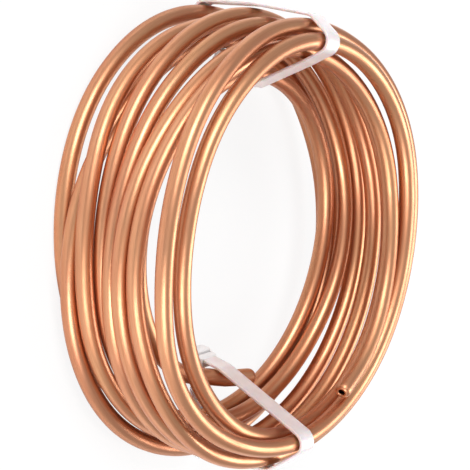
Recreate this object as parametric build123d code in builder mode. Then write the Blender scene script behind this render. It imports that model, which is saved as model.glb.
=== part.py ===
"""Loose coil of soft copper tube, held by two nylon cable ties and lying on its side.

The coil's axis stands nearly upright and its rear turns lie on the ground at Z = 0.
The origin is on the ground, under the middle of the coil's outline.
"""
import math
import os
from build123d import *

os.makedirs("parts", exist_ok=True)

# Tube, mm
tube_od = 6.35
tube_wall = 0.8
turn_gap = 0.15
straight_end = 10.0

# Coil, mm
inner_layer_radius = 73.0
stations_per_turn = 8

# How the coil leans where it rests on its uneven rear turns, degrees about X and Y
lean_back = 3.1
lean_aside = -1.66

# Cable ties, mm
tie_width = 7.6
tie_thickness = 1.2
tie_gap = 0.8
tie_head_length = 8.0
tie_head_height = 4.8
tie_head_width = 9.8
tie_bend = 0.4

# Where each tie goes round the turns, degrees from the bottom of the winding, and
# where its head sits beside them, as (lane, layer) and a slant in degrees
lower_tie_angle = -9.0
lower_head_place = (0.15, -3.85)
lower_head_slant = -25.0
upper_tie_angle = 182.0
upper_head_place = (0.9, -1.3)
upper_head_slant = 35.0

# Where the tube starts and stops: angle from the bottom in degrees, lane, layer
start_point = (-13.0, 1.9, -2.7)
stop_point = (321.0, 7.5, -1.5)

# One row per turn. Each pair is (lane, layer) in tube widths, lane counted from the
# rear to the front and layer from the inside out, at the bottom, lower left, left,
# upper left, top, upper right, right and lower right.
turns = [
    [(1.3, -3.0), (2.1, -2.95), (2.75, -2.7), (3.2, -2.4),
     (2.95, -1.9), (2.35, -1.5), (1.7, -1.1), (1.1, -0.7)],
    [(0.65, -0.4), (0.25, -0.1), (-0.2, 0.3), (-0.65, 0.9),
     (-0.9, 1.25), (-0.75, 1.3), (-0.15, 1.5), (0.2, 1.4)],
    [(0.45, 1.25), (0.6, 1.25), (0.8, 0.6), (1.2, -0.1),
     (0.95, -0.15), (1.05, -0.1), (1.25, 0.1), (1.4, 0.25)],
    [(1.5, 0.3), (1.55, 0.7), (1.85, 0.85), (1.4, 1.2),
     (1.6, 0.65), (2.1, 0.2), (2.4, -0.05), (2.25, -0.5)],
    [(2.3, -0.5), (2.1, -0.15), (2.45, 0.05), (2.6, 0.9),
     (2.4, 1.3), (2.4, 1.25), (2.7, 1.05), (2.8, 0.85)],
    [(2.85, 0.85), (3.1, 0.8), (3.5, 0.4), (3.75, 0.45),
     (3.85, 0.85), (3.75, 0.7), (3.95, 0.85), (4.05, 0.9)],
    [(4.05, 0.95), (4.15, 0.95), (4.45, 0.75), (4.9, 0.05),
     (5.0, 0.05), (5.2, 0.25), (5.5, 0.3), (5.75, 0.3)],
    [(6.1, -0.25), (6.65, -0.85), (7.4, -0.8), (7.55, -0.3),
     (7.35, 0.2), (7.2, 0.25), (6.85, -0.05), (6.9, -0.1)],
    [(7.1, 0.2), (6.85, 0.8), (7.4, 0.75), (7.15, 0.95),
     (6.4, 0.95), (6.65, 1.1), (6.2, 1.25), (5.8, 1.35)],
    [(5.1, 1.25), (5.4, 1.0), (5.45, 0.7), (5.95, 0.1), (6.2, -0.35), (6.35, -0.65), (6.5, -1.05)],
]

lane_pitch = tube_od + turn_gap


def on_coil(angle, lane, layer):
    """A point of the tube's centre line, angle in radians from the bottom by the left."""
    radius = inner_layer_radius + layer * lane_pitch
    return Vector(-radius * math.sin(angle), -radius * math.cos(angle), lane * lane_pitch)


def route_points():
    """Every station of the tube in order, as (angle, lane, layer)."""
    stations = [(math.radians(start_point[0]), start_point[1], start_point[2])]
    step = 2 * math.pi / stations_per_turn
    for number, row in enumerate(turns):
        for place, (lane, layer) in enumerate(row):
            stations.append(((number * stations_per_turn + place) * step, lane, layer))
    last_turn = 2 * math.pi * (len(turns) - 1)
    stations.append((last_turn + math.radians(stop_point[0]), stop_point[1], stop_point[2]))
    return stations


def slope(before, after, item):
    """Change of lane or layer per radian between two stations."""
    return (after[item] - before[item]) / (after[0] - before[0])


def direction(stations, index):
    """Unit tangent of the centre line at a station."""
    here = stations[index]
    before = stations[max(index - 1, 0)]
    after = stations[min(index + 1, len(stations) - 1)]
    lane_slope = slope(before, after, 1)
    layer_slope = slope(before, after, 2)
    nudge = 0.001
    ahead = on_coil(here[0] + nudge, here[1] + lane_slope * nudge, here[2] + layer_slope * nudge)
    behind = on_coil(here[0] - nudge, here[1] - lane_slope * nudge, here[2] - layer_slope * nudge)
    return (ahead - behind).normalized()


def arc_joint(first, first_way, last, last_way):
    """Where two tangent arcs between two directed points meet."""
    span = last - first
    ways = first_way + last_way
    square = 2 * (first_way.dot(last_way) - 1)
    linear = -2 * span.dot(ways)
    rest = span.dot(span)
    root = math.sqrt(linear * linear - 4 * square * rest)
    reach = (-linear - root) / (2 * square)
    if reach < 0:
        reach = (-linear + root) / (2 * square)
    return (first + first_way * reach + last - last_way * reach) * 0.5


# The tube: one length of round tube bent through every station
stations = route_points()
points = [on_coil(*station) for station in stations]
ways = [direction(stations, index) for index in range(len(stations))]
tail_end = points[0] - ways[0] * straight_end
nose_end = points[-1] + ways[-1] * straight_end

with BuildPart() as copper_tube:
    with BuildLine() as centre_line:
        Line(tail_end, points[0])
        for index in range(len(points) - 1):
            joint = arc_joint(points[index], ways[index], points[index + 1], ways[index + 1])
            TangentArc(points[index], joint, tangent=ways[index])
            TangentArc(points[index + 1], joint, tangent=-ways[index + 1])
        Line(points[-1], nose_end)
    with BuildSketch(Plane(origin=tail_end, z_dir=ways[0])):
        Circle(tube_od / 2)
        Circle(tube_od / 2 - tube_wall, mode=Mode.SUBTRACT)
    sweep(path=centre_line.wires()[0])


def turns_at(angle):
    """Where every turn crosses one angle of the winding, as (radius, height)."""
    out = Vector(-math.sin(angle), -math.cos(angle), 0)
    along = Vector(-math.cos(angle), math.sin(angle), 0)
    middle = along * 0.01
    spots = []
    for edge in centre_line.edges():
        low, high = 0.0, 1.0
        low_side = (edge.position_at(low) - middle).dot(along)
        high_side = (edge.position_at(high) - middle).dot(along)
        spot = edge.position_at(0.5) - middle
        if low_side * high_side > 0 or spot.dot(out) < 0:
            continue
        while high - low > 1e-6:
            spot = edge.position_at((low + high) / 2) - middle
            if spot.dot(along) * low_side > 0:
                low = (low + high) / 2
            else:
                high = (low + high) / 2
        spots.append((spot.dot(out), spot.Z))
    return spots


def tie_plane(angle):
    """Plane across the turns: X out from the coil's middle, Y along its axis."""
    out = Vector(-math.sin(angle), -math.cos(angle), 0)
    return Plane(origin=(0, 0, 0), x_dir=out, z_dir=out.cross(Vector(0, 0, 1)))


def head_spot(place):
    """Where a tie's head sits, as (radius, height)."""
    lane, layer = place
    return (inner_layer_radius + layer * lane_pitch, lane * lane_pitch)


def strap_ring(angle, spots, head):
    """A taut strap round the turns and past its head, seen across them."""
    with BuildSketch(tie_plane(angle)) as ring:
        with Locations(*spots):
            Circle(tube_od / 2 + tie_gap + tie_thickness)
        with Locations(head):
            Circle(tie_bend + tie_thickness)
        make_hull()
        with BuildSketch(mode=Mode.SUBTRACT):
            with Locations(*spots):
                Circle(tube_od / 2 + tie_gap)
            with Locations(head):
                Circle(tie_bend)
            make_hull()
    return ring.sketch


def head_face(angle, head, slant):
    """The tie's head seen across the turns."""
    with BuildSketch(tie_plane(angle)) as block:
        with Locations(head):
            Rectangle(tie_head_height, tie_head_length, rotation=slant)
    return block.sketch


# Lower tie: its head is inside the eye, behind the tube's inner end
lower_angle = math.radians(lower_tie_angle)
lower_head = head_spot(lower_head_place)
with BuildPart() as lower_tie:
    extrude(strap_ring(lower_angle, turns_at(lower_angle), lower_head), amount=tie_width / 2, both=True)
    extrude(
        head_face(lower_angle, lower_head, lower_head_slant),
        amount=tie_head_width / 2,
        both=True,
    )

# Upper tie: its head is inside the eye too, out of sight behind the front turns
upper_angle = math.radians(upper_tie_angle)
upper_head = head_spot(upper_head_place)
with BuildPart() as upper_tie:
    extrude(strap_ring(upper_angle, turns_at(upper_angle), upper_head), amount=tie_width / 2, both=True)
    extrude(
        head_face(upper_angle, upper_head, upper_head_slant),
        amount=tie_head_width / 2,
        both=True,
    )

# Laid on the ground, leaning on its rear turns, the middle of its outline at the origin
lean = Location((0, 0, 0), (lean_back, lean_aside, 0))
whole = Compound([copper_tube.part, lower_tie.part, upper_tie.part]).moved(lean)
outline = whole.bounding_box()
at_rest = Location((-outline.center().X, -outline.center().Y, -outline.min.Z)) * lean

copper_tube.part = copper_tube.part.moved(at_rest)
copper_tube.part.label = "copper_tube"
export_step(copper_tube.part, "parts/copper_tube.step")

lower_tie.part = lower_tie.part.moved(at_rest)
lower_tie.part.label = "lower_tie"
export_step(lower_tie.part, "parts/lower_tie.step")

upper_tie.part = upper_tie.part.moved(at_rest)
upper_tie.part.label = "upper_tie"
export_step(upper_tie.part, "parts/upper_tie.step")
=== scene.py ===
import math

import bmesh
import bpy
from mathutils import Matrix, Vector, geometry


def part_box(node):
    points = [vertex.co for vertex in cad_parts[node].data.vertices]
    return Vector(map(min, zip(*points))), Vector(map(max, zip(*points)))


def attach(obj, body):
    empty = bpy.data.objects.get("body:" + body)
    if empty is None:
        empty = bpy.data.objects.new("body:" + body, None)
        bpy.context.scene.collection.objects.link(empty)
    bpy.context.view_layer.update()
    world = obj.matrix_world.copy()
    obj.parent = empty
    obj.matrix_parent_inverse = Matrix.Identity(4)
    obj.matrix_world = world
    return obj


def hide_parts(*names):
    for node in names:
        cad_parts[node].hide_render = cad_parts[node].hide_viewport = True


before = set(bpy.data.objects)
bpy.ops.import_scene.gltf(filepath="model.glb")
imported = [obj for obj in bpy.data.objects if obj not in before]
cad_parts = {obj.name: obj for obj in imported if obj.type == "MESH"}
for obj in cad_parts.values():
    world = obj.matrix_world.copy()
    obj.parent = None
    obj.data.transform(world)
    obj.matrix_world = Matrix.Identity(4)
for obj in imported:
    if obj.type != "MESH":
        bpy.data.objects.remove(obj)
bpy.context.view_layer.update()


# Studio
# The coil was photographed standing on edge on white. Here it lies on a plain white floor, and
# the camera sees it from the photograph's side, turned so that the picture comes out upright.

eye = Vector((-0.81335, 0.03312, 0.60605))
view_direction = Vector((0.81225, -0.03298, -0.58237))
picture_up = Vector((0.0007, 0.99845, -0.05557))

camera_data = bpy.data.cameras.new("camera")
camera_data.sensor_width = 36
camera_data.sensor_height = 36
camera_data.lens = 207.0
camera = bpy.data.objects.new("camera", camera_data)
bpy.context.collection.objects.link(camera)
backward = -view_direction.normalized()
rightward = picture_up.cross(backward).normalized()
upward = backward.cross(rightward)
camera.matrix_world = Matrix.Translation(eye) @ Matrix((rightward, upward, backward)).transposed().to_4x4()
bpy.context.scene.camera = camera

bpy.context.scene.view_settings.view_transform = "Standard"


coil_middle = Vector((0, 0, 0.03))


def place_softbox(name, spot, width, height, power):
    """A rectangular softbox aimed at the coil's middle."""
    lamp_data = bpy.data.lights.new(name, "AREA")
    lamp_data.shape = "RECTANGLE"
    lamp_data.size = width
    lamp_data.size_y = height
    lamp_data.energy = power
    lamp = bpy.data.objects.new(name, lamp_data)
    bpy.context.collection.objects.link(lamp)
    lamp.matrix_world = (
        Matrix.Translation(spot)
        @ (coil_middle - Vector(spot)).to_track_quat("-Z", "Y").to_matrix().to_4x4()
    )


place_softbox("softbox_over", (-0.7, 0.85, 0.95), 0.8, 0.55, 14.0)
place_softbox("softbox_front", (-0.95, -0.85, 0.7), 0.55, 0.7, 11.0)
place_softbox("softbox_far", (0.9, -0.3, 0.9), 0.6, 0.8, 7.5)


def seen_directly(tree):
    """1 for rays from the camera or through clear plastic, else 0."""
    rays = tree.nodes.new("ShaderNodeLightPath")
    either = tree.nodes.new("ShaderNodeMath")
    either.operation = "MAXIMUM"
    tree.links.new(rays.outputs["Is Camera Ray"], either.inputs[0])
    tree.links.new(rays.outputs["Is Transmission Ray"], either.inputs[1])
    return either.outputs[0]


world = bpy.data.worlds.new("white_room")
world.use_nodes = True
room = world.node_tree
room.nodes.clear()
room_light = room.nodes.new("ShaderNodeBackground")
room_light.inputs["Color"].default_value = (0.97, 0.98, 1.0, 1)
room_light.inputs["Strength"].default_value = 0.52
room_seen = room.nodes.new("ShaderNodeBackground")
room_seen.inputs["Color"].default_value = (1, 1, 1, 1)
room_seen.inputs["Strength"].default_value = 1.0
room_mix = room.nodes.new("ShaderNodeMixShader")
room_end = room.nodes.new("ShaderNodeOutputWorld")
room.links.new(seen_directly(room), room_mix.inputs[0])
room.links.new(room_light.outputs[0], room_mix.inputs[1])
room.links.new(room_seen.outputs[0], room_mix.inputs[2])
room.links.new(room_mix.outputs[0], room_end.inputs[0])
bpy.context.scene.world = world

floor_reach = 12
floor_level = -0.0002
floor_mesh = bpy.data.meshes.new("floor")
floor_mesh.from_pydata(
    [(x * floor_reach, y * floor_reach, floor_level) for x, y in ((-1, -1), (1, -1), (1, 1), (-1, 1))],
    [],
    [(0, 1, 2, 3)],
)
floor = bpy.data.objects.new("floor", floor_mesh)
bpy.context.collection.objects.link(floor)

floor_paint = bpy.data.materials.new("white_floor")
floor_paint.use_nodes = True
paint = floor_paint.node_tree
paint.nodes.clear()
paint_diffuse = paint.nodes.new("ShaderNodeBsdfDiffuse")
paint_diffuse.inputs["Color"].default_value = (0.9, 0.9, 0.9, 1)
paint_white = paint.nodes.new("ShaderNodeEmission")
paint_white.inputs["Color"].default_value = (1, 1, 1, 1)
paint_white.inputs["Strength"].default_value = 1.0
paint_part = paint.nodes.new("ShaderNodeMath")
paint_part.operation = "MULTIPLY"
paint_part.inputs[1].default_value = 0.85
paint_mix = paint.nodes.new("ShaderNodeMixShader")
paint_end = paint.nodes.new("ShaderNodeOutputMaterial")
paint.links.new(seen_directly(paint), paint_part.inputs[0])
paint.links.new(paint_part.outputs[0], paint_mix.inputs[0])
paint.links.new(paint_diffuse.outputs[0], paint_mix.inputs[1])
paint.links.new(paint_white.outputs[0], paint_mix.inputs[2])
paint.links.new(paint_mix.outputs[0], paint_end.inputs[0])
floor_mesh.materials.append(floor_paint)


# Copper tube
# One length of soft-drawn copper tube, 6.35 mm across with a 0.8 mm wall, wound by hand into
# ten loose turns. Both ends are cut with a wheel cutter, which rolls the lip inwards.

mm = 0.001
tube_radius = 3.175 * mm
tube_bore_radius = 2.375 * mm
lane_pitch = 6.5 * mm
inner_layer_radius = 73.0 * mm
stations_per_turn = 8
straight_end = 10.0 * mm
start_point = (-13.0, 1.9, -2.7)
stop_point = (321.0, 7.5, -1.5)
lean_back = 3.1
lean_aside = -1.66

# One row per turn, the same as in the part's source: (lane, layer) in tube widths, lane from
# the rear to the front and layer from the inside out, at each eighth of a turn.
turns = [
    [(1.3, -3.0), (2.1, -2.95), (2.75, -2.7), (3.2, -2.4),
     (2.95, -1.9), (2.35, -1.5), (1.7, -1.1), (1.1, -0.7)],
    [(0.65, -0.4), (0.25, -0.1), (-0.2, 0.3), (-0.65, 0.9),
     (-0.9, 1.25), (-0.75, 1.3), (-0.15, 1.5), (0.2, 1.4)],
    [(0.45, 1.25), (0.6, 1.25), (0.8, 0.6), (1.2, -0.1),
     (0.95, -0.15), (1.05, -0.1), (1.25, 0.1), (1.4, 0.25)],
    [(1.5, 0.3), (1.55, 0.7), (1.85, 0.85), (1.4, 1.2),
     (1.6, 0.65), (2.1, 0.2), (2.4, -0.05), (2.25, -0.5)],
    [(2.3, -0.5), (2.1, -0.15), (2.45, 0.05), (2.6, 0.9),
     (2.4, 1.3), (2.4, 1.25), (2.7, 1.05), (2.8, 0.85)],
    [(2.85, 0.85), (3.1, 0.8), (3.5, 0.4), (3.75, 0.45),
     (3.85, 0.85), (3.75, 0.7), (3.95, 0.85), (4.05, 0.9)],
    [(4.05, 0.95), (4.15, 0.95), (4.45, 0.75), (4.9, 0.05),
     (5.0, 0.05), (5.2, 0.25), (5.5, 0.3), (5.75, 0.3)],
    [(6.1, -0.25), (6.65, -0.85), (7.4, -0.8), (7.55, -0.3),
     (7.35, 0.2), (7.2, 0.25), (6.85, -0.05), (6.9, -0.1)],
    [(7.1, 0.2), (6.85, 0.8), (7.4, 0.75), (7.15, 0.95),
     (6.4, 0.95), (6.65, 1.1), (6.2, 1.25), (5.8, 1.35)],
    [(5.1, 1.25), (5.4, 1.0), (5.45, 0.7), (5.95, 0.1), (6.2, -0.35), (6.35, -0.65), (6.5, -1.05)],
]


def on_coil(angle, lane, layer):
    """A point of the tube's middle, angle in radians from the bottom by the left."""
    radius = inner_layer_radius + layer * lane_pitch
    return Vector((-radius * math.sin(angle), -radius * math.cos(angle), lane * lane_pitch))


stations = [(math.radians(start_point[0]), start_point[1], start_point[2])]
for number, row in enumerate(turns):
    for place, (lane, layer) in enumerate(row):
        stations.append((math.tau * (number + place / stations_per_turn), lane, layer))
last_turn = math.tau * (len(turns) - 1)
stations.append((last_turn + math.radians(stop_point[0]), stop_point[1], stop_point[2]))


def tube_heading(index):
    """Which way the tube runs at a station."""
    before = stations[max(index - 1, 0)]
    after = stations[min(index + 1, len(stations) - 1)]
    angle, lane, layer = stations[index]
    lane_slope = (after[1] - before[1]) / (after[0] - before[0])
    layer_slope = (after[2] - before[2]) / (after[0] - before[0])
    nudge = 0.001
    ahead = on_coil(angle + nudge, lane + lane_slope * nudge, layer + layer_slope * nudge)
    behind = on_coil(angle - nudge, lane - lane_slope * nudge, layer - layer_slope * nudge)
    return (ahead - behind).normalized()


def two_bends(first, first_way, last, last_way):
    """Where the two even bends between a pair of stations meet, and the tube's heading there."""
    span = last - first
    square = 2 * (first_way.dot(last_way) - 1)
    linear = -2 * span.dot(first_way + last_way)
    reach = (-linear - math.sqrt(linear * linear - 4 * square * span.dot(span))) / (2 * square)
    if reach < 0:
        reach = -linear / square - reach
    near = first + first_way * reach
    far = last - last_way * reach
    return (near + far) / 2, (far - near).normalized()


tube_points = [on_coil(*station) for station in stations]
tube_ways = [tube_heading(index) for index in range(len(stations))]
bends = [(tube_points[0] - tube_ways[0] * straight_end, tube_ways[0])]
for index in range(len(stations) - 1):
    bends.append((tube_points[index], tube_ways[index]))
    bends.append(
        two_bends(tube_points[index], tube_ways[index], tube_points[index + 1], tube_ways[index + 1])
    )
bends.append((tube_points[-1], tube_ways[-1]))
bends.append((tube_points[-1] + tube_ways[-1] * straight_end, tube_ways[-1]))


def handle_length(index, side):
    """How far a bend's handle reaches for the curve to be a true arc."""
    other = index + side
    if other < 0 or other == len(bends):
        other = index - side
    span = bends[other][0] - bends[index][0]
    return 2 * span.length / (3 * (1 + abs(span.normalized().dot(bends[index][1]))))


tube_line_data = bpy.data.curves.new("tube_line", "CURVE")
tube_line_data.dimensions = "3D"
tube_line_data.resolution_u = 32
spline = tube_line_data.splines.new("BEZIER")
spline.bezier_points.add(len(bends) - 1)
for index, (point, (spot, way)) in enumerate(zip(spline.bezier_points, bends)):
    point.handle_left_type = point.handle_right_type = "FREE"
    point.co = spot
    point.handle_left = spot - way * handle_length(index, -1)
    point.handle_right = spot + way * handle_length(index, 1)
tube_line = bpy.data.objects.new("tube_line", tube_line_data)
bpy.context.collection.objects.link(tube_line)
tube_length = spline.calc_length()


def add_node(tree, kind, **settings):
    """A node with its settings, such as operation."""
    made = tree.nodes.new(kind)
    for key, value in settings.items():
        setattr(made, key, value)
    return made


def bending_tree():
    """Geometry nodes that bend a straight length of stock along a line.

    The stock lies along X. Its own place before bending is kept as the attribute
    stock_place, which the materials read.
    """
    tree = bpy.data.node_groups.new("bend_along_line", "GeometryNodeTree")
    face = tree.interface
    face.new_socket("Geometry", in_out="INPUT", socket_type="NodeSocketGeometry")
    face.new_socket("Line", in_out="INPUT", socket_type="NodeSocketObject")
    face.new_socket("Step along line", in_out="INPUT", socket_type="NodeSocketFloat")
    face.new_socket("Side", in_out="INPUT", socket_type="NodeSocketVector")
    face.new_socket("Material", in_out="INPUT", socket_type="NodeSocketMaterial")
    face.new_socket("Geometry", in_out="OUTPUT", socket_type="NodeSocketGeometry")
    start = tree.nodes.new("NodeGroupInput")
    end = tree.nodes.new("NodeGroupOutput")
    link = tree.links.new

    line = tree.nodes.new("GeometryNodeObjectInfo")
    link(start.outputs["Line"], line.inputs["Object"])
    even = add_node(tree, "GeometryNodeResampleCurve", mode="LENGTH")
    link(line.outputs["Geometry"], even.inputs["Curve"])
    link(start.outputs["Step along line"], even.inputs["Length"])

    place = tree.nodes.new("GeometryNodeInputPosition")
    keep = add_node(tree, "GeometryNodeStoreNamedAttribute", data_type="FLOAT_VECTOR", domain="POINT")
    keep.inputs["Name"].default_value = "stock_place"
    link(start.outputs["Geometry"], keep.inputs["Geometry"])
    link(place.outputs[0], keep.inputs["Value"])

    parts = tree.nodes.new("ShaderNodeSeparateXYZ")
    link(place.outputs[0], parts.inputs[0])
    sample = add_node(tree, "GeometryNodeSampleCurve", mode="LENGTH")
    link(even.outputs["Curve"], sample.inputs["Curves"])
    link(parts.outputs["X"], sample.inputs["Length"])

    inward = add_node(tree, "ShaderNodeVectorMath", operation="CROSS_PRODUCT")
    link(start.outputs["Side"], inward.inputs[0])
    link(sample.outputs["Tangent"], inward.inputs[1])
    inward_unit = add_node(tree, "ShaderNodeVectorMath", operation="NORMALIZE")
    link(inward.outputs[0], inward_unit.inputs[0])
    sideways = add_node(tree, "ShaderNodeVectorMath", operation="CROSS_PRODUCT")
    link(sample.outputs["Tangent"], sideways.inputs[0])
    link(inward_unit.outputs[0], sideways.inputs[1])

    def stretched(direction, amount):
        scaled = add_node(tree, "ShaderNodeVectorMath", operation="SCALE")
        link(direction, scaled.inputs[0])
        link(amount, scaled.inputs["Scale"])
        return scaled.outputs[0]

    across = add_node(tree, "ShaderNodeVectorMath", operation="ADD")
    link(stretched(inward_unit.outputs[0], parts.outputs["Y"]), across.inputs[0])
    link(stretched(sideways.outputs[0], parts.outputs["Z"]), across.inputs[1])
    bent_place = add_node(tree, "ShaderNodeVectorMath", operation="ADD")
    link(sample.outputs["Position"], bent_place.inputs[0])
    link(across.outputs[0], bent_place.inputs[1])

    bend = tree.nodes.new("GeometryNodeSetPosition")
    link(keep.outputs["Geometry"], bend.inputs["Geometry"])
    link(bent_place.outputs[0], bend.inputs["Position"])
    realize = tree.nodes.new("GeometryNodeRealizeInstances")
    link(bend.outputs["Geometry"], realize.inputs["Geometry"])
    finish = tree.nodes.new("GeometryNodeSetMaterial")
    link(realize.outputs["Geometry"], finish.inputs["Geometry"])
    link(start.outputs["Material"], finish.inputs["Material"])
    link(finish.outputs["Geometry"], end.inputs[0])
    return tree


bend_along_line = bending_tree()


def set_inputs(modifier, **values):
    """Fill a tree's named inputs, an underscore standing for a space."""
    for item in modifier.node_group.interface.items_tree:
        key = item.name.replace(" ", "_")
        if item.item_type == "SOCKET" and item.in_out == "INPUT" and key in values:
            modifier[item.identifier] = values[key]


def bent(stock, name, line, step, side, material, first_tree=None, first_values=None):
    """The stock bent along a line, as a new object with a plain mesh."""
    if first_tree:
        first = stock.modifiers.new("repeat", "NODES")
        first.node_group = first_tree
        set_inputs(first, **first_values)
    bending = stock.modifiers.new("bend", "NODES")
    bending.node_group = bend_along_line
    set_inputs(bending, Line=line, Step_along_line=step, Side=side, Material=material)
    evaluated = stock.evaluated_get(bpy.context.evaluated_depsgraph_get())
    mesh = bpy.data.meshes.new_from_object(evaluated)
    mesh.name = name
    bpy.data.objects.remove(stock)
    piece = bpy.data.objects.new(name, mesh)
    bpy.context.collection.objects.link(piece)
    return piece


def stock_object(name, verts, faces):
    """A straight length of stock, smooth all over."""
    mesh = bpy.data.meshes.new(name)
    mesh.from_pydata(verts, [], faces)
    mesh.shade_smooth()
    made = bpy.data.objects.new(name, mesh)
    bpy.context.collection.objects.link(made)
    return made


# Copper: bright drawn metal with hair-fine draw lines along the tube, slow shifts between
# pink and orange where hands and air have touched it, and a satin sheen.
copper = bpy.data.materials.new("drawn_copper")
copper.use_nodes = True
metal = copper.node_tree
metal.nodes.clear()
metal_end = metal.nodes.new("ShaderNodeOutputMaterial")
metal_skin = metal.nodes.new("ShaderNodeBsdfPrincipled")
metal_skin.inputs["Metallic"].default_value = 1.0
metal.links.new(metal_skin.outputs[0], metal_end.inputs["Surface"])
metal_place = add_node(metal, "ShaderNodeAttribute", attribute_name="stock_place")


def copper_noise(along, around, detail, roughness):
    """Noise stretched along the tube: how many waves per metre along and around it."""
    stretch = metal.nodes.new("ShaderNodeMapping")
    stretch.inputs["Scale"].default_value = (along, around, around)
    metal.links.new(metal_place.outputs["Vector"], stretch.inputs["Vector"])
    noise = metal.nodes.new("ShaderNodeTexNoise")
    noise.inputs["Scale"].default_value = 1.0
    noise.inputs["Detail"].default_value = detail
    noise.inputs["Roughness"].default_value = roughness
    metal.links.new(stretch.outputs[0], noise.inputs["Vector"])
    return noise.outputs["Fac"]


def copper_range(value, low, high):
    """Noise brought into a working range."""
    spread = metal.nodes.new("ShaderNodeMapRange")
    spread.inputs["From Min"].default_value = 0.3
    spread.inputs["From Max"].default_value = 0.7
    spread.inputs["To Min"].default_value = low
    spread.inputs["To Max"].default_value = high
    metal.links.new(value, spread.inputs["Value"])
    return spread.outputs[0]


draw_lines = copper_noise(9, 650, 5.0, 0.75)
handling = copper_noise(22, 130, 4.0, 0.55)
tarnish = copper_noise(75, 340, 5.0, 0.65)

pink_to_orange = metal.nodes.new("ShaderNodeValToRGB")
pink_to_orange.color_ramp.elements[0].position = 0.3
pink_to_orange.color_ramp.elements[0].color = (0.70, 0.325, 0.19, 1)
pink_to_orange.color_ramp.elements[1].position = 0.72
pink_to_orange.color_ramp.elements[1].color = (0.76, 0.41, 0.225, 1)
metal.links.new(handling, pink_to_orange.inputs["Fac"])
darker_lines = add_node(metal, "ShaderNodeMix", data_type="RGBA", blend_type="MULTIPLY")
darker_lines.inputs["B"].default_value = (0.74, 0.66, 0.6, 1)
metal.links.new(copper_range(draw_lines, 0.0, 0.9), darker_lines.inputs["Factor"])
metal.links.new(pink_to_orange.outputs["Color"], darker_lines.inputs["A"])
tarnished = add_node(metal, "ShaderNodeMix", data_type="RGBA", blend_type="MULTIPLY")
tarnished.inputs["B"].default_value = (0.82, 0.72, 0.66, 1)
metal.links.new(copper_range(tarnish, 0.0, 0.45), tarnished.inputs["Factor"])
metal.links.new(darker_lines.outputs["Result"], tarnished.inputs["A"])
metal.links.new(tarnished.outputs["Result"], metal_skin.inputs["Base Color"])

sheen = metal.nodes.new("ShaderNodeMath")
sheen.operation = "ADD"
metal.links.new(copper_range(draw_lines, 0.28, 0.46), sheen.inputs[0])
metal.links.new(copper_range(tarnish, -0.03, 0.08), sheen.inputs[1])
metal.links.new(sheen.outputs[0], metal_skin.inputs["Roughness"])

draw_relief = metal.nodes.new("ShaderNodeBump")
draw_relief.inputs["Strength"].default_value = 0.6
draw_relief.inputs["Distance"].default_value = 0.00003
metal.links.new(draw_lines, draw_relief.inputs["Height"])
metal.links.new(draw_relief.outputs[0], metal_skin.inputs["Normal"])

# The straight stock: outer skin from end to end, round a rolled lip, and back down the bore.
# The lip is (distance back from the cut, radius) in mm, from the outer skin to the bore.
lip = [(2.6, 3.175), (1.7, 3.12), (1.0, 2.96), (0.5, 2.68), (0.15, 2.35), (0.0, 2.05),
       (0.02, 1.6), (0.2, 1.3), (0.6, 1.28), (1.2, 1.7), (1.9, 2.15), (2.8, 2.375)]
sides_round = 32
before_the_end = 1e-6
skin_start = lip[0][0] * mm
bore_start = lip[-1][0] * mm
ring_spacing = 3.4 * mm
outer_rings = round(tube_length / ring_spacing)
bore_rings = round(tube_length / (2 * ring_spacing))
profile = [(skin_start + (tube_length - 2 * skin_start) * ring / outer_rings, tube_radius)
           for ring in range(outer_rings)]
profile += [(tube_length - back * mm, radius * mm) for back, radius in lip]
profile += [(tube_length - bore_start - (tube_length - 2 * bore_start) * ring / bore_rings, tube_bore_radius)
            for ring in range(1, bore_rings)]
profile += [(back * mm, radius * mm) for back, radius in reversed(lip[1:])]
tube_verts = []
tube_faces = []
for ring, (along, radius) in enumerate(profile):
    following = (ring + 1) % len(profile)
    for side in range(sides_round):
        turn = 2 * math.pi * side / sides_round
        tube_verts.append((
            min(along, tube_length - before_the_end), radius * math.cos(turn), radius * math.sin(turn),
        ))
        beside = (side + 1) % sides_round
        tube_faces.append((
            ring * sides_round + side,
            ring * sides_round + beside,
            following * sides_round + beside,
            following * sides_round + side,
        ))
copper_coil = bent(
    stock_object("straight_tube", tube_verts, tube_faces),
    "copper_coil", tube_line, 1.0 * mm, (0, 0, 1), copper,
)

# Laid down: the coil leans a little where it rests on its uneven rear turns.
lean = Matrix.Rotation(math.radians(lean_back), 4, "X") @ Matrix.Rotation(math.radians(lean_aside), 4, "Y")
leaning = [lean @ vertex.co for vertex in copper_coil.data.vertices]
low_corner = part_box("copper_tube")[0]
at_rest = Matrix.Translation([
    low_corner[axis] - min(spot[axis] for spot in leaning) for axis in range(3)
]) @ lean
copper_coil.data.transform(at_rest)
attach(copper_coil, "root")
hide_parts("copper_tube")


# Lower cable tie
# A moulded nylon cable tie, 7.6 mm wide, pulled tight round all the turns at the bottom of the
# coil. Its teeth face the tube, its head sits inside the eye and its tail is cut off short.

tie_thickness = 1.2 * mm
tie_gap = 0.8 * mm
tie_bend = 0.4 * mm
head_length = 7.9 * mm
head_height = 4.7 * mm
head_width = 9.7 * mm
head_corner = 1.3 * mm
head_rim = 0.4 * mm
slot_half_length = 1.3 * mm
slot_half_width = 3.95 * mm
slot_depth = 1.5 * mm
tail_length = 2.6 * mm
tail_width = 7.5 * mm
lower_angle = math.radians(-9.0)
lower_head = (-3.85, 0.15)
lower_slant = math.radians(-25.0)

tube_line_mesh = tube_line.to_mesh()
tube_middle = [vertex.co.copy() for vertex in tube_line_mesh.vertices]
tube_line.to_mesh_clear()


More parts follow.
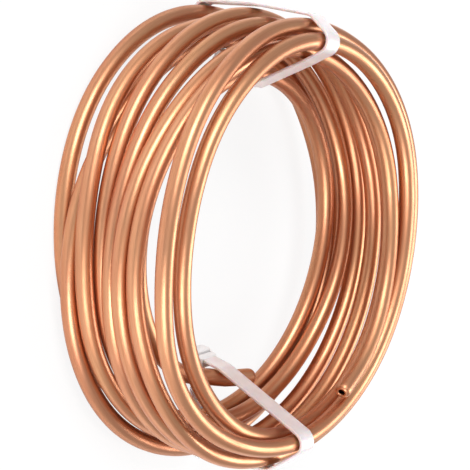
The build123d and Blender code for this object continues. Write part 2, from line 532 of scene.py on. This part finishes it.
def strap_line(name, angle, head):
    """The path of a taut strap round the turns at one angle, starting and ending in its head."""
    out = Vector((-math.sin(angle), -math.cos(angle), 0))
    along = Vector((-math.cos(angle), math.sin(angle), 0))
    rounds = [(head[0], head[1], tie_bend + tie_thickness / 2)]
    for here, beyond in zip(tube_middle, tube_middle[1:]):
        before, after = here.dot(along), beyond.dot(along)
        if before * after < 0 and here.dot(out) > 0:
            crossing = here.lerp(beyond, before / (before - after))
            rounds.append((crossing.dot(out), crossing.z, tube_radius + tie_gap + tie_thickness / 2))
    steps_round = 96
    rim = [
        (x + radius * math.cos(math.tau * step / steps_round),
         y + radius * math.sin(math.tau * step / steps_round))
        for x, y, radius in rounds
        for step in range(steps_round)
    ]
    loop = [rim[index] for index in geometry.convex_hull_2d(rim)]
    if sum(a[0] * b[1] - b[0] * a[1] for a, b in zip(loop, loop[1:] + loop[:1])) < 0:
        loop.reverse()
    first = min(range(len(loop)), key=lambda index: math.dist(loop[index], head))
    loop = loop[first:] + loop[:first + 1]
    data = bpy.data.curves.new(name, "CURVE")
    data.dimensions = "3D"
    line = data.splines.new("POLY")
    line.points.add(len(loop) - 1)
    for point, (x, y) in zip(line.points, loop):
        point.co = (*(out * x + Vector((0, 0, y))), 1)
    made = bpy.data.objects.new(name, data)
    bpy.context.collection.objects.link(made)
    return made, line.calc_length()


def teeth_tree():
    """Geometry nodes that set a row of teeth along a straight strap."""
    tree = bpy.data.node_groups.new("row_of_teeth", "GeometryNodeTree")
    face = tree.interface
    face.new_socket("Geometry", in_out="INPUT", socket_type="NodeSocketGeometry")
    face.new_socket("Tooth", in_out="INPUT", socket_type="NodeSocketObject")
    face.new_socket("Tooth spacing", in_out="INPUT", socket_type="NodeSocketFloat")
    face.new_socket("Teeth", in_out="INPUT", socket_type="NodeSocketInt")
    face.new_socket("Geometry", in_out="OUTPUT", socket_type="NodeSocketGeometry")
    start = tree.nodes.new("NodeGroupInput")
    end = tree.nodes.new("NodeGroupOutput")
    link = tree.links.new
    step = tree.nodes.new("ShaderNodeCombineXYZ")
    link(start.outputs["Tooth spacing"], step.inputs["X"])
    row = add_node(tree, "GeometryNodeMeshLine", mode="OFFSET", count_mode="TOTAL")
    link(start.outputs["Teeth"], row.inputs["Count"])
    link(step.outputs[0], row.inputs["Offset"])
    link(step.outputs[0], row.inputs["Start Location"])
    tooth = tree.nodes.new("GeometryNodeObjectInfo")
    link(start.outputs["Tooth"], tooth.inputs["Object"])
    place = tree.nodes.new("GeometryNodeInstanceOnPoints")
    link(row.outputs["Mesh"], place.inputs["Points"])
    link(tooth.outputs["Geometry"], place.inputs["Instance"])
    realize = tree.nodes.new("GeometryNodeRealizeInstances")
    link(place.outputs["Instances"], realize.inputs["Geometry"])
    join = tree.nodes.new("GeometryNodeJoinGeometry")
    link(realize.outputs["Geometry"], join.inputs["Geometry"])
    link(start.outputs["Geometry"], join.inputs["Geometry"])
    link(join.outputs["Geometry"], end.inputs[0])
    return tree


row_of_teeth = teeth_tree()

strap_ring_spacing = 0.6 * mm
tooth_spacing = 1.15 * mm
tooth_mesh = bpy.data.meshes.new("tooth")
tooth_mesh.from_pydata(
    [(x * mm, y * mm, z * mm)
     for x, y in ((-0.5, 0.15), (0.5, 0.15), (0.42, 0.5), (0.28, 0.52), (-0.5, 0.28))
     for z in (-2.78, 2.78)],
    [],
    [(0, 1, 3, 2), (2, 3, 5, 4), (4, 5, 7, 6), (6, 7, 9, 8), (8, 9, 1, 0),
     (0, 2, 4, 6, 8), (9, 7, 5, 3, 1)],
)
tooth = bpy.data.objects.new("tooth", tooth_mesh)
bpy.context.collection.objects.link(tooth)

# Nylon: milky and slightly see-through, so the copper tints it, with a faint moulding texture.
nylon = bpy.data.materials.new("milky_nylon")
nylon.use_nodes = True
milk = nylon.node_tree
milk.nodes.clear()
milk_end = milk.nodes.new("ShaderNodeOutputMaterial")
milk_skin = milk.nodes.new("ShaderNodeBsdfPrincipled")
milk_skin.inputs["IOR"].default_value = 1.53
milk_skin.inputs["Transmission Weight"].default_value = 0.35
milk_skin.inputs["Subsurface Weight"].default_value = 0.5
milk_skin.inputs["Subsurface Scale"].default_value = 0.0015
milk.links.new(milk_skin.outputs[0], milk_end.inputs["Surface"])
milk_place = add_node(milk, "ShaderNodeTexCoord")
milk_cloud = milk.nodes.new("ShaderNodeTexNoise")
milk_cloud.inputs["Scale"].default_value = 240.0
milk_cloud.inputs["Detail"].default_value = 4.0
milk.links.new(milk_place.outputs["Object"], milk_cloud.inputs["Vector"])
milk_tint = milk.nodes.new("ShaderNodeValToRGB")
milk_tint.color_ramp.elements[0].position = 0.35
milk_tint.color_ramp.elements[0].color = (0.80, 0.71, 0.72, 1)
milk_tint.color_ramp.elements[1].position = 0.65
milk_tint.color_ramp.elements[1].color = (0.87, 0.79, 0.79, 1)
milk.links.new(milk_cloud.outputs["Fac"], milk_tint.inputs["Fac"])
milk.links.new(milk_tint.outputs["Color"], milk_skin.inputs["Base Color"])
milk_grain = milk.nodes.new("ShaderNodeTexNoise")
milk_grain.inputs["Scale"].default_value = 2600.0
milk_grain.inputs["Detail"].default_value = 2.0
milk.links.new(milk_place.outputs["Object"], milk_grain.inputs["Vector"])
milk_gloss = milk.nodes.new("ShaderNodeMapRange")
milk_gloss.inputs["From Min"].default_value = 0.3
milk_gloss.inputs["From Max"].default_value = 0.7
milk_gloss.inputs["To Min"].default_value = 0.3
milk_gloss.inputs["To Max"].default_value = 0.42
milk.links.new(milk_grain.outputs["Fac"], milk_gloss.inputs["Value"])
milk.links.new(milk_gloss.outputs[0], milk_skin.inputs["Roughness"])
milk_relief = milk.nodes.new("ShaderNodeBump")
milk_relief.inputs["Strength"].default_value = 0.25
milk_relief.inputs["Distance"].default_value = 0.00005
milk.links.new(milk_grain.outputs["Fac"], milk_relief.inputs["Height"])
milk.links.new(milk_relief.outputs[0], milk_skin.inputs["Normal"])


def straight_strap(name, length):
    """A strap with a raised rail along each edge and a channel between them for the teeth."""
    half = [(-3.8, -0.1), (-3.79, -0.36), (-3.7, -0.53), (-3.52, -0.6), (-1.8, -0.6), (0.0, -0.6)]
    inner = [(-2.8, 0.2), (-2.86, 0.45), (-3.0, 0.58), (-3.2, 0.6), (-3.5, 0.6), (-3.7, 0.52), (-3.79, 0.36)]
    outline = half + [(-z, y) for z, y in reversed(half[:-1])]
    outline += [(-z, y) for z, y in reversed(inner)] + inner
    verts = []
    faces = []
    rings = round(length / strap_ring_spacing)
    count = len(outline)
    for ring in range(rings + 1):
        along = min(length * ring / rings, length - before_the_end)
        for place, (z, y) in enumerate(outline):
            verts.append((along, y * mm, z * mm))
            if ring < rings:
                beside = (place + 1) % count
                faces.append((
                    ring * count + place, ring * count + beside,
                    (ring + 1) * count + beside, (ring + 1) * count + place,
                ))
    faces.append(tuple(reversed(range(count))))
    faces.append(tuple(rings * count + place for place in range(count)))
    return stock_object(name, verts, faces)


def tie_head(angle, head, slant):
    """The head: a rounded block with the slot that the strap runs through, and the cut tail."""
    block = bmesh.new()
    bmesh.ops.create_cube(block, size=1.0, matrix=Matrix.Diagonal((head_length, head_height, head_width, 1)))
    upright = [edge for edge in block.edges if abs(edge.verts[0].co.y - edge.verts[1].co.y) > mm]
    bmesh.ops.bevel(block, geom=upright, offset=head_corner, segments=4, profile=0.5, affect="EDGES")
    for facing in (-1, 1):
        mouth = max(block.faces, key=lambda flat: flat.normal.y * facing * flat.calc_area())
        bmesh.ops.inset_region(block, faces=[mouth], thickness=0.35 * mm, depth=0.0)
        bmesh.ops.inset_region(block, faces=[mouth], thickness=0.6 * mm, depth=0.0)
        for corner in mouth.verts:
            corner.co.x = max(-slot_half_length, min(slot_half_length, corner.co.x))
            corner.co.z = max(-slot_half_width, min(slot_half_width, corner.co.z))
        deep = bmesh.ops.extrude_discrete_faces(block, faces=[mouth])["faces"][0]
        for corner in deep.verts:
            corner.co.y -= facing * slot_depth
    rim_band = 0.7 * mm
    rim = [
        edge for edge in block.edges
        if abs(abs(edge.verts[0].co.y) - head_height / 2) < 1e-6
        and abs(edge.verts[0].co.y - edge.verts[1].co.y) < 1e-6
        and (
            abs(edge.verts[0].co.x) > head_length / 2 - rim_band
            or abs(edge.verts[0].co.z) > head_width / 2 - rim_band
        )
        and len({round(flat.normal.y) for flat in edge.link_faces}) > 1
    ]
    bmesh.ops.bevel(block, geom=rim, offset=head_rim, segments=3, profile=0.5, affect="EDGES")
    tail_place = Matrix.Translation((0.1 * mm, -2.3 * mm, 0))
    stub = bmesh.ops.create_cube(
        block, size=1.0,
        matrix=tail_place @ Matrix.Diagonal((tie_thickness, tail_length, tail_width, 1)),
    )["verts"]
    for corner in stub:
        if corner.co.y < -3 * mm and corner.co.x > 0:
            corner.co.y += 0.5 * mm
    stub_edges = {edge for corner in stub for edge in corner.link_edges}
    bmesh.ops.bevel(block, geom=list(stub_edges), offset=0.15 * mm, segments=2, profile=0.5, affect="EDGES")
    bmesh.ops.recalc_face_normals(block, faces=block.faces)
    out = Vector((-math.sin(angle), -math.cos(angle), 0))
    axis = Vector((0, 0, 1))
    height_way = out * math.cos(slant) + axis * math.sin(slant)
    length_way = axis * math.cos(slant) - out * math.sin(slant)
    turned = Matrix((length_way, height_way, length_way.cross(height_way))).transposed().to_4x4()
    block.transform(Matrix.Translation(out * head[0] + axis * head[1]) @ turned)
    mesh = bpy.data.meshes.new("tie_head")
    block.to_mesh(mesh)
    block.free()
    mesh.materials.append(nylon)
    made = bpy.data.objects.new("tie_head", mesh)
    bpy.context.collection.objects.link(made)
    return made


def cable_tie(name, angle, head_place, slant, node):
    """One tie in place: its toothed strap and its head, joined into one piece."""
    head = (inner_layer_radius + head_place[0] * lane_pitch, head_place[1] * lane_pitch)
    line, length = strap_line(name + "_line", angle, head)
    side = Vector((-math.sin(angle), -math.cos(angle), 0)).cross(Vector((0, 0, 1)))
    strap = bent(
        straight_strap(name + "_stock", length), name, line, 0.3 * mm, side, nylon,
        first_tree=row_of_teeth,
        first_values={
            "Tooth": tooth,
            "Tooth_spacing": tooth_spacing,
            "Teeth": int(length / tooth_spacing) - 1,
        },
    )
    whole = bmesh.new()
    whole.from_mesh(strap.data)
    head_piece = tie_head(angle, head, slant)
    whole.from_mesh(head_piece.data)
    whole.to_mesh(strap.data)
    whole.free()
    bpy.data.objects.remove(head_piece)
    bpy.data.objects.remove(line)
    strap.data.transform(at_rest)
    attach(strap, "root")
    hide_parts(node)
    return strap


cable_tie("lower_cable_tie", lower_angle, lower_head, lower_slant, "lower_tie")


# Upper cable tie
# The same kind of tie, pulled round the turns at the top of the coil. Its head is inside the
# eye as well, tucked behind the front turns.

upper_angle = math.radians(182.0)
upper_head = (-1.3, 0.9)
upper_slant = math.radians(35.0)
cable_tie("upper_cable_tie", upper_angle, upper_head, upper_slant, "upper_tie")

for helper in (tube_line, tooth):
    bpy.data.objects.remove(helper)
